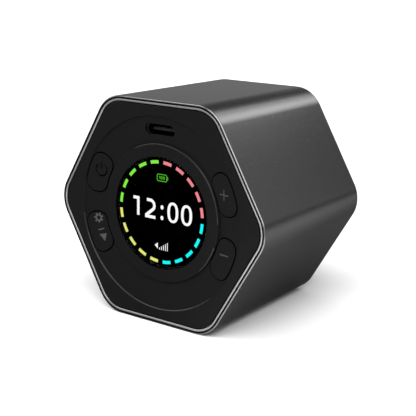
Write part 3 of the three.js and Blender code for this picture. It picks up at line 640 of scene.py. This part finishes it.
    # rim: circles up the dish step, then hexagons over the lip, the insert and the skirt
    dish, insert, skirt, lipBack, skirtBack = pick(panel, "dish insertInset skirtInset lipBack skirtBack")
    lip, brink = halfFlats - halfHeight, (dish, front)
    circles = rounded([(far, panel["channelTop"]), (*brink, panel["dishEdge"]), (dish + panel["rimFlat"], front)])
    hexes = rounded([(lip + panel["lipFlat"], front), (lip, front, soft), (lip, lipBack), (insert, lipBack),
                     (insert, skirtBack, soft), (skirt, skirtBack, soft), (skirt, back)])
    # painted highlight: the round at the dish step gets the bright finish on its main arcs and the dim one at their
    # ends
    polished = np.append(inRound(circles, brink, panel["polished"]), np.zeros(len(hexes) + 1, int))[:, None]
    tags = (panelTags["dish_edge"] * onArc(outer, panel["dishHighlightArcs"])
            + panelTags["disc_edge"] * onArc(outer, panel["dishSoft"]))
    shell.sheet(np.concatenate([spun(circles, outer), polar(hexRay(outer, hexes[:, :1]), outer, hexes[:, 1:]),
                                polar(np.array([[far]]), outer, back)]), tag=polished * tags)

    # bosses for the board screws
    pilot, boss = pick(panel, "pilotRadius bossRadius")
    tube = rounded([(pilot, back), (boss, back), (boss, end, soft), (pilot, end, soft)], closed=True)
    for number in (1, 2, 3):
        shell.sheet(turned(tube, panelGrid["boss"], middle(f"board_screw_{number}")))
    shell.make("dial_panel", "black_moulding", ["front_panel"], panelTags)


makePanel()
print("dial panel made")

# Icons of the keys in mm, each as a signed distance that is negative inside.
icon = dict(soft=0.07, grooveShadeFrom=0.7, line=0.38, powerRadius=1.5, powerGap=np.radians(34), stemUp=1.125,
            stemLength=1.65, cross=2.55, bar=0.32, gear=1.08, teeth=7, tooth=0.2, toothSteep=3, hub=0.5,
            gearAt=(-18.86, -4.07), divider=1.7, dividerLine=0.304, dividerAt=(-18.05, -6.89),
            play=((-18.52, -8.22), (-16.8, -9.71), (-16.51, -7.72)))


def box(x, y, width, height):
    return np.maximum(np.abs(x) - width / 2, np.abs(y) - height / 2)


def filled(distance, soft):  # 1 inside a shape, 0 outside, with a soft edge
    return np.clip(0.5 - distance / soft, 0, 1)


def powerIcon(x, y):
    ring = np.abs(np.hypot(x, y) - icon["powerRadius"]) - icon["line"] / 2
    ring = np.where(np.abs(np.arctan2(x, y)) < icon["powerGap"], np.inf, ring)
    return np.minimum(ring, box(x, y - icon["stemUp"], icon["line"], icon["stemLength"]))


def minusIcon(x, y):
    return box(x, y, icon["cross"], icon["bar"])


def plusIcon(x, y):
    return np.minimum(minusIcon(x, y), minusIcon(y, x))


def settingsIcon(x, y):  # gear and divider laid along the ring, and a three-cornered play mark
    def spot(place):  # along the ring and across it from a place
        right, up = place / np.hypot(*place)
        x0, y0 = x - place[0], y - place[1]
        return y0 * right - x0 * up, x0 * right + y0 * up

    along, across = spot(np.array(icon["gearAt"]))
    wave = np.cos(icon["teeth"] * np.arctan2(across, along))
    rim = icon["gear"] + icon["tooth"] * np.tanh(icon["toothSteep"] * wave)
    far = np.hypot(along, across)
    gear = np.maximum(far - rim, icon["hub"] - far)
    divider = box(*spot(np.array(icon["dividerAt"])), icon["dividerLine"], icon["divider"])
    corners = np.array(icon["play"])
    sides = unit(np.roll(corners, -1, axis=0) - corners)
    play = np.max([(x - cx) * sy - (y - cy) * sx for (cx, cy), (sx, sy) in zip(corners, sides)], axis=0)
    return np.minimum(np.minimum(gear, divider), play)


keyIcons = table("draw place ink rise", {
    "plus": (plusIcon, (18.33, 7.43), 0.65, 0.1),
    "minus": (minusIcon, (18.73, -6.51), 0.65, 0.1),
    "power": (powerIcon, (-17.88, 8.12), 0.0, -0.25),
    "settings": (settingsIcon, (0, 0), 0.9, 0.1),
})


# Key: cap over a radius by angle grid, raised or sunk at its icon and rounded at its edge; wall, flange and post.
def makeKey(name):
    angle, mark = keyAngles[name], keyIcons[name]
    along = np.cos(np.linspace(0, np.pi, key["rows"]))[:, None]
    side = np.linspace(-1, 1, key["columns"])

    def outline(grow):  # radius and turn over the grown outline
        inner, outer, *_ = keyShape(grow)
        radius = (inner + outer) / 2 - (outer - inner) / 2 * along
        return radius * np.ones_like(side), keyEdge(radius, grow) * side

    def border(grid):  # edge of a grid, once round
        return np.concatenate([grid[0], grid[1:, -1], grid[-1, -2::-1], grid[-2:0:-1, 0]])

    def rim(grow, back):  # border of the grown outline at one depth
        radius, turn = outline(grow)
        return border(polar(radius, turn + angle, back))

    radius, turn = outline(-key["draft"])
    right, up, _ = np.moveaxis(polar(radius, turn + angle, 0.0), -1, 0)
    inked = filled(mark["draw"](right - mark["place"][0], up - mark["place"][1]), icon["soft"])
    edge = roundOff(keyInset(radius, turn, -key["draft"]), key["edge"])
    cap = polar(radius, turn + angle, channelDepth(radius) - key["rise"] + edge - mark["rise"] * inked)
    # painted shade: where a sunk icon is deep, its groove gets the near-black wall finish
    sunk = (inked[1:, 1:] > icon["grooveShadeFrom"]) & (mark["rise"] < 0)
    shell = Shell()
    shell.sheet(cap, around=False, tag=sunk.astype(int), paint=inked * mark["ink"])

    _, _, _, postEnd = reach(f"{name}_button")
    flange, postRadius, postEdge = pick(key, "flange postRadius postEdge")
    flangeFront, flangeBack = panel["plateBack"] + key["flangeGap"], postEnd - key["postLength"]
    rows = [border(cap), rim(0, flangeFront), rim(flange, flangeFront), rim(flange, flangeBack)]
    foot = keyMiddle * heading(angle)
    outward = unit(rows[-1][:, :2] - foot)
    post = rounded([(postRadius, flangeBack), (postRadius, postEnd, postEdge), (0, postEnd)])
    rows += [atDepth(foot + across * outward, back) for across, back in post]
    # painted shade: the key's side wall, from the cap down to the flange, gets the near-black wall finish
    shell.sheet(np.stack(rows), tag=[1] + [0] * (len(rows) - 2))
    shell.make(f"{name}_key_cap", "key_plastic", [f"{name}_button"], ["shaded_wall"], f"{name}_key")


for keyName in keyAngles:
    makeKey(keyName)
print("keys made:", len(keyAngles))

# Window: a clear disc with ground edges.
lens = dict(edge=0.12, steps=160)


def makeWindow():
    half, _, front, back = reach("display_window")
    section = rounded([(0, front), (half, front, lens["edge"]), (half, back, lens["edge"]), (0, back)])
    shell = Shell()
    shell.sheet(turned(section, lens["steps"]))
    shell.make("window_lens", "clear_window", ["display_window"])


makeWindow()


# Stroke: a path widened to both sides, mitred at its bends, as a plate between two depths.
def stroke(shell, path, width, front, back, closed=False, tag=0):
    path = np.asarray(path, float)
    ahead = unit((np.roll(path, -1, axis=0) if closed else path[1:]) - (path if closed else path[:-1]))
    normal = np.column_stack([-ahead[:, 1], ahead[:, 0]])
    before = np.roll(normal, 1, axis=0) if closed else np.concatenate([normal[:1], normal])
    after = normal if closed else np.concatenate([normal, normal[-1:]])
    mitre = (before + after) / (1 + np.sum(before * after, axis=1))[:, None]
    offset = mitre * np.reshape(width, (-1, 1)) / 2
    left, right = path + offset, path - offset
    rows = np.stack([atDepth(left, front), atDepth(right, front), atDepth(right, back), atDepth(left, back),
                     atDepth(left, front)])
    shell.sheet(rows, around=closed, tag=tag)
    if not closed:
        for end in (0, -1):
            shell.sheet(np.stack([rows[:2, end], rows[3:1:-1, end]]), around=False, tag=tag)


def arc(radius, start, end, count, centre=(0, 0)):
    return centre + radius * heading(np.radians(np.linspace(start, end, count)))


# Lit display: ring of segments, digits, battery and volume icons, just behind the window.
display = dict(segments=20, ring=12.09, ringCentre=(-0.25, 0.15), width=0.79, length=11.2, steps=12,
               ringColours=("lit_red", "lit_green", "lit_yellow", "lit_cyan"), thick=0.02, gap=0.005)
digit = dict(height=4.8, line=0.74, thin=0.62, centre=(0.15, 0.68), oneAt=-7.2, oneFlag=-1.5, oneShort=0.2,
             twoAt=-3.4, twoBar=-1.15, twoBow=1.25, twoBowAt=-0.15, twoBowEnd=-50, twoBowSteps=22, twoStem=0.3,
             twoFoot=(-1.32, 1.42), dotsAt=(0.8, -1.78), dotHalf=(0.22, 0.3), dotLine=0.43, dotSteps=24,
             noughtsAt=(3.2, 7.2), noughtHalf=1.22, noughtTaller=0.06, noughtBend=0.84, noughtSwell=1.5,
             noughtSteps=64)
battery = dict(centre=(0.06, 8.55), half=(1.1, 0.5), corner=0.3, cornerSteps=6, line=0.16, capAt=1.68, capHalf=0.4,
               capLine=0.2, digits=(0.17, 0.16), oneAt=-0.62, oneLine=0.14, noughtsAt=(-0.12, 0.56), noughtLine=0.13)
volume = dict(centre=(0.45, -8.19), horn=((-2.4, 0.1), (-1.5, 0.1)), hornWidths=(0.02, 1.5), bars=5, firstBar=-0.95,
              pitch=0.58, foot=-0.8, shortest=0.5, taller=0.38, line=0.19)
pixel = dict(grain=9000.0, dim=0.9, roughness=0.9)
litLooks = table("colour strength", {
    "lit_red": ((0.95, 0.26, 0.29),),
    "lit_green": ((0.23, 0.92, 0.065),),
    "lit_yellow": ((0.82, 0.86, 0.19),),
    "lit_cyan": ((0.01, 1.0, 1.0),),
    "lit_white": ((1.0, 1.0, 1.0), 1.05),
    "lit_leaf": ((0.1, 0.6, 0.035),),
})


def glow(place, colour, strength=1.0):  # lit part of the display, a little uneven as pixels are
    uneven = place.noise(pixel["grain"], detail=1.0)
    return {
        "Base Color": tone(0.0),
        "Roughness": pixel["roughness"],
        "Specular IOR Level": 0.0,
        "Emission Color": uneven.between(tone(pixel["dim"], colour), tone(1.0, colour)),
        "Emission Strength": strength,
    }


addFinishes(glow, litLooks)


def digitOne(line):
    top = digit["height"] / 2 - line / 2
    return np.array([(digit["oneFlag"], top), (0, top), (0, digit["oneShort"] - digit["height"] / 2)])


def digitTwo(line):  # bar, bow, slope, stem and foot
    top = digit["height"] / 2 - line / 2
    bow, bowAt, bowEnd, bowSteps = pick(digit, "twoBow twoBowAt twoBowEnd twoBowSteps")
    left, right = digit["twoFoot"]
    foot = [(left, digit["twoStem"] - top), (left, -top), (right, -top)]
    return np.concatenate([[(digit["twoBar"], top)], arc(bow, 90, bowEnd, bowSteps, (bowAt, top - bow)), foot])


def digitNought(line):  # superellipse ring, thinner at its top and foot, and the line's thickness round it
    wave = heading(fullTurn(digit["noughtSteps"]))
    thin = line * digit["thin"] / digit["line"]
    half = (digit["noughtHalf"], digit["height"] / 2 - thin / 2 + digit["noughtTaller"])
    path = half * np.sign(wave) * np.abs(wave) ** digit["noughtBend"]
    return path, thin + (line - thin) * np.abs(wave[:, 0]) ** digit["noughtSwell"]


def makeDisplay():
    back = reach("display_panel")[2] - display["gap"]
    front = back - display["thick"]

    def lay(shell, path, width, closed=False, tag=1):  # a lit stroke on the face of the display
        stroke(shell, path, width, front, back, closed, tag)

    ring = Shell()
    half, pitch, colours = display["length"] / 2, 360 / display["segments"], display["ringColours"]
    for number in range(display["segments"]):
        turn = (number + 0.5) * pitch
        path = arc(display["ring"], turn - half, turn + half, display["steps"], display["ringCentre"])
        lay(ring, path, display["width"], tag=1 + number * len(colours) // display["segments"])
    ring.make("display_segments", "display_face", extra=colours)

    digits = Shell()
    centre, line = np.array(digit["centre"]), digit["line"]
    lay(digits, digitOne(line) + centre + (digit["oneAt"], 0), line)
    lay(digits, digitTwo(line) + centre + (digit["twoAt"], 0), line)
    dot = arc(1, 0, 360 - 360 / digit["dotSteps"], digit["dotSteps"]) * digit["dotHalf"]
    for up in digit["dotsAt"]:
        lay(digits, dot + centre + (0, up), digit["dotLine"], closed=True)
    nought, thick = digitNought(line)
    for right in digit["noughtsAt"]:
        lay(digits, nought + centre + (right, 0), thick, closed=True)
    digits.make("display_digits", "display_face", extra=["lit_white"])

    cell = Shell()
    centre, (wide, high) = np.array(battery["centre"]), battery["half"]
    corner, steps, capAt, capHalf = pick(battery, "corner cornerSteps capAt capHalf")
    corners = {0: (wide, high), 90: (-wide, high), 180: (-wide, -high), 270: (wide, -high)}
    case = [arc(corner, start, start + 90, steps, centre + place) for start, place in corners.items()]
    lay(cell, np.concatenate(case), battery["line"], closed=True)
    lay(cell, centre + [(capAt, -capHalf), (capAt, capHalf)], battery["capLine"])
    lay(cell, digitOne(1.0) * battery["digits"] + centre + (battery["oneAt"], 0), battery["oneLine"])
    nought = digitNought(1.0)[0] * battery["digits"]
    for right in battery["noughtsAt"]:
        lay(cell, nought + centre + (right, 0), battery["noughtLine"], closed=True)
    cell.make("display_battery", "display_face", extra=["lit_leaf"])

    sound = Shell()
    centre = np.array(volume["centre"])
    lay(sound, centre + volume["horn"], volume["hornWidths"])
    for number in range(volume["bars"]):
        foot = centre + (volume["firstBar"] + number * volume["pitch"], volume["foot"])
        lay(sound, [foot, foot + (0, volume["shortest"] + number * volume["taller"])], volume["line"])
    sound.make("display_volume", "display_face", extra=["lit_white"])


makeDisplay()
print("window and lit display made")


# Section carried round a slot with round ends: each (inset, back) draws a narrower slot.
def slotBand(section, halfWidth, halfHeight, centre, steps=20):
    turn = np.linspace(-np.pi / 2, np.pi / 2, steps)
    ends = np.repeat([1.0, -1.0], steps)[:, None] * (halfWidth - halfHeight, 0, 0)
    return polar(halfHeight - section[:, :1], np.append(turn, turn + np.pi), section[:, 1:]) + ends + (*centre, 0)


# Charging port: drawn shell with a rolled mouth, tongue on its block, and contact strips on the tongue.
socket = dict(mouthEdge=0.12, tongueWide=3.345, tongueHigh=0.35, tongueEdge=0.14, block=1.5, fit=0.05, pads=12,
              padPitch=0.5, padWide=0.26, padThick=0.024, padFront=0.35, padLength=3.4)


def makePort():
    wide, high, front, back = reach("usb_shell")
    centre = middle("usb_shell")
    wall, soft = port["wall"], socket["mouthEdge"]
    shell = Shell()
    section = rounded([(0, back), (0, front, soft), (wall, front, soft), (wall, back)], closed=True)
    shell.sheet(slotBand(section, wide, high, centre))
    shell.make("port_shell", "blackened_steel", ["usb_shell"])

    _, _, tip, end = reach("usb_tongue")
    tongue = Shell()
    half, soft = socket["tongueHigh"], socket["tongueEdge"]
    plate = rounded([(half, tip), (0, tip, soft), (0, end), (half, end)])
    tongue.sheet(slotBand(plate, socket["tongueWide"], half, centre))
    inner, face = high - wall - socket["fit"], end - socket["block"]
    base = rounded([(inner, face), (0, face, soft), (0, end), (inner, end)])
    tongue.sheet(slotBand(base, wide - wall - socket["fit"], inner, centre))
    tongue.make("port_tongue", "port_insulator", ["usb_tongue"])

    pads = Shell()
    start = tip + socket["padFront"]
    places = (np.arange(socket["pads"]) - (socket["pads"] - 1) / 2) * socket["padPitch"]
    for side in (-1, 1):
        up = side * (half + socket["padThick"] / 2)
        for right in places:
            ends = centre + [(right - socket["padWide"] / 2, up), (right + socket["padWide"] / 2, up)]
            stroke(pads, ends, socket["padThick"], start, start + socket["padLength"])
    pads.make("port_contacts", "steel")


makePort()
print("charging port made")

# Rear cover: lip, plate, screw wells, speaker ring and a grille of flared holes.
cover = dict(insertInset=2.2, lipFront=42.85, plateFront=41.4, edge=0.3, flare=0.15, pitch=3.4, hole=0.7,
             holeSteps=32, rings=2, well=2.0, wellSeat=41.85, wellSteps=48, shankHole=1.15, boss=2.4, ringIn=10.5,
             ringOut=11.7, ringFront=39.2, ringEdge=0.15)


def grille():  # centres of the holes: rows one pitch apart at 60 degrees, each a hole shorter away from the middle
    rings, pitch = cover["rings"], cover["pitch"]
    holes = []
    for row in range(-rings, rings + 1):
        along = np.arange(2 * rings + 1 - abs(row)) - rings + abs(row) / 2
        holes += [(right, row * pitch * np.cos(cornerTurn)) for right in along * pitch]
    return holes


def makeCover():
    shell = Shell()
    _, half, front, back = reach("rear_cover")
    lip, insert, plate = halfFlats - half, cover["insertInset"], cover["plateFront"]
    band = hexBand(rounded([(insert, plate), (insert, cover["lipFront"]), (lip, cover["lipFront"]),
                            (lip, back, cover["edge"]), (lip + 2 * cover["edge"], back)]))
    shell.sheet(band)
    backLoops, frontLoops = [band[-1, :, :2]], [band[0, :, :2]]

    def bore(section, steps, centre):  # hole through the plate, from its back to its front
        wall = turned(np.array(section), steps, centre)
        shell.sheet(wall)
        backLoops.append(wall[0, :, :2])
        frontLoops.append(wall[-1, :, :2])

    hole, well, seat, shank, boss, flare = pick(cover, "hole well wellSeat shankHole boss flare")
    for centre in grille():
        bore([(hole + flare, back), (hole, back - flare), (hole, plate)], cover["holeSteps"], centre)
    for number in (1, 2, 3):
        bore([(well + flare, back), (well, back - flare), (well, seat), (shank, seat), (shank, front), (boss, front),
              (boss, plate)], cover["wellSteps"], middle(f"rear_screw_{number}"))
    shell.flat(backLoops, back)
    shell.flat(frontLoops, plate)
    inner, outer, top, soft = pick(cover, "ringIn ringOut ringFront ringEdge")
    ring = rounded([(inner, plate), (outer, plate), (outer, top, soft), (inner, top, soft)], closed=True)
    shell.sheet(turned(ring))
    # painted light: the plate takes the grained finish, lighter than its black moulding slot, to lift the dimly lit
    # back
    shell.make("rear_plate", "black_moulding", ["rear_cover"], finish="grained_moulding")


makeCover()

# Rear screw: domed head over a radius by angle grid, sunk at the cross, and a threaded shank with a point.
screw = dict(head=1.2, dome=0.16, edge=0.18, cross=0.5, arm=2.2, taper=0.3, sink=0.6, soft=0.12, shank=0.95,
             thread=0.12, pitch=0.6, runOut=0.6, point=0.8, steps=96, headRows=70, threadRows=160)


def makeScrew(number):
    half, _, tip, back = reach(f"rear_screw_{number}")
    centre = middle(f"rear_screw_{number}")
    angle = fullTurn(screw["steps"])

    def level(radius, depth):
        return polar(radius, angle, depth) + (*centre, 0)

    radius = np.linspace(0, half, screw["headRows"])[:, None]
    x, y = radius * np.cos(angle), radius * np.sin(angle)
    arm, wide = screw["arm"], screw["cross"] * (1 - screw["taper"] * radius / half)
    cross = np.minimum(box(x, y, arm, wide), box(x, y, wide, arm))
    top = back - screw["dome"] * (radius / half) ** 2 - roundOff(half - radius, screw["edge"])
    top = top - filled(cross, screw["soft"]) * screw["sink"]
    shell = Shell()
    shell.sheet(level(radius, top))

    seat, end, root = back - screw["head"], tip + screw["point"], np.array([[screw["shank"] - screw["thread"]]])
    head = radius[-1:]
    shell.sheet(np.concatenate([level(head, top[-1:]), level(head, seat), level(root, seat)]))
    run = np.linspace(seat, end, screw["threadRows"])[:, None]
    wave = np.abs(((run / screw["pitch"] - angle / (2 * np.pi)) % 1) * 2 - 1)
    fade = np.clip(np.minimum(seat - run, run - end) / screw["runOut"], 0, 1)
    shell.sheet(level(root + screw["thread"] * wave * fade, run))
    shell.sheet(np.concatenate([level(root, end), level(0 * root, tip)]))
    shell.make(f"rear_screw_head_{number}", "steel", [f"rear_screw_{number}"])


for screwNumber in (1, 2, 3):
    makeScrew(screwNumber)
print("rear cover and screws made")

# Every solid gets the finish of its slot, which shows on the solids that no piece replaces.
for part in frame["record"]["subparts"]:
    node = frame["nodes"][part["node"]]
    node.data.materials.clear()
    node.data.materials.append(finishes[part["material_slot"]])

# Floor: pale paper. In reflections it carries painted shade and light: dim near the object and behind it, where its
# shadow falls, bright further out along the lean, and dimmer again far away.
paper = dict(half=8.0, tone=0.78, roughness=0.9, level=0.1, dim=0.265, bright=1.0, lean=(27.0, -12.5, 0.0),
             brighten=(0.1, 1.4), darken=(1.2, 5.0), drop=0.9)


def paintedReflectionPaper(place):
    mirrored = place.node("ShaderNodeLightPath", output="Is Glossy Ray")
    lean = place.along(paper["lean"])
    lighter = lean.steps(*paper["brighten"]) - paper["drop"] * lean.steps(*paper["darken"])
    reflected = lighter.between(tone(paper["dim"]), tone(paper["bright"]))
    return {
        "Base Color": mirrored.between(tone(paper["tone"]), reflected),
        "Roughness": paper["roughness"],
        "Specular IOR Level": paper["level"],
    }


def makeFloor():
    half = paper["half"]
    mesh = bpy.data.meshes.new("studioFloor")
    mesh.from_pydata([(-half, -half, 0), (half, -half, 0), (half, half, 0), (-half, half, 0)], [], [(0, 1, 2, 3)])
    mesh.materials.append(makeMaterial("floor_paper", paintedReflectionPaper))
    floor = bpy.data.objects.new("studioFloor", mesh)
    bpy.context.scene.collection.objects.link(floor)


makeFloor()

# Light all round: stronger from the bright side, with its own strength in reflections and behind the object.
allRound = dict(ambient=0.6, brightSide=(0.0, -0.85, 0.3), mirrored=0.42, backdrop=1.1)


def makeAllRound():
    world = bpy.data.worlds.new("studioLight")
    bpy.context.scene.world = world
    world.use_nodes = True
    world.node_tree.nodes.clear()
    wire = Wire(world.node_tree)
    mirrored = wire.node("ShaderNodeLightPath", output="Is Glossy Ray")
    seen = wire.node("ShaderNodeLightPath", output="Is Camera Ray")
    lean = wire.node("ShaderNodeTexCoord", output="Generated").along(allRound["brightSide"])
    around = allRound["ambient"] + allRound["ambient"] * lean
    strength = around + mirrored * (allRound["mirrored"] - around) + seen * (allRound["backdrop"] - around)
    background = wire.node("ShaderNodeBackground", {"Color": (1, 1, 1, 1), "Strength": strength})
    wire.node("ShaderNodeOutputWorld", {"Surface": background})


makeAllRound()

# Lamps, placed by the turn from straight behind and the rise above the floor, in degrees: softboxes that show only in
# reflections, with their brightness, and suns that light the floor and cast the soft shadows.
softboxes = table("turn rise away size bright", {
    "backBox": (13.4, 37.6, 0.6, (0.27, 0.29), 4.3),
    "backCore": (19.5, 32.2, 0.58, (0.155, 0.12), 4.3),
    "backLeft": (-38, 15, 0.9, (0.7, 0.28), 0.3),
    "backRight": (44, 16, 0.9, (0.5, 0.31), 0.68),
    "topBox": (95, 66, 0.6, (0.6, 0.6), 2.2),
    "sideLeft": (-105, 22, 0.8, (0.5, 0.4), 1.5),
    "rightBox": (136, 34, 1.0, (0.95, 0.95), 1.5),
    "leftBox": (-132, 45, 1.2, (0.8, 0.8), 1.5),
})
suns = table("turn rise away strength spread", {
    "frontSun": (145, 54, 1.0, 3.35, np.radians(45)),
    "leftSun": (-122, 35, 1.0, 1.6, np.radians(30)),
})


def addLamp(name, kind, values):  # lamp aimed at the middle of the object
    light = bpy.data.lights.new(name, kind)
    lamp = bpy.data.objects.new(name, light)
    turn, rise = np.radians(values["turn"]), np.radians(values["rise"])
    target = Vector((0, 0, middleZ))
    toward = Vector((np.sin(turn) * np.cos(rise), np.cos(turn) * np.cos(rise), np.sin(rise)))
    lamp.location = target + values["away"] * toward
    lamp.rotation_euler = (target - lamp.location).to_track_quat("-Z", "Y").to_euler()
    bpy.context.scene.collection.objects.link(lamp)
    return lamp, light


for name, values in softboxes.items():
    lamp, light = addLamp(name, "AREA", values)
    light.shape, light.size, light.size_y = "RECTANGLE", *values["size"]
    light.energy = values["bright"] * np.pi * light.size * light.size_y
    lamp.visible_diffuse = False
for name, values in suns.items():
    lamp, light = addLamp(name, "SUN", values)
    light.energy, light.angle = values["strength"], values["spread"]
    lamp.visible_glossy = False

# Camera at the photograph's viewing angle, placed in mm and turned in degrees.
view = dict(place=(135.211, -192.878, 85.031), turn=(75.5334, -1.1018, 35.488), lens=83.346, sensor=36.0,
            clip=(0.005, 60))


def makeCamera():
    data = bpy.data.cameras.new("photoCamera")
    data.lens, data.sensor_width = view["lens"], view["sensor"]
    data.clip_start, data.clip_end = view["clip"]
    camera = bpy.data.objects.new("photoCamera", data)
    camera.location = Vector(view["place"]) * mm
    camera.rotation_euler = np.radians(view["turn"])
    bpy.context.scene.collection.objects.link(camera)
    bpy.context.scene.camera = camera


makeCamera()
bpy.context.scene.view_settings.view_transform = "Standard"
print("studio and camera made")
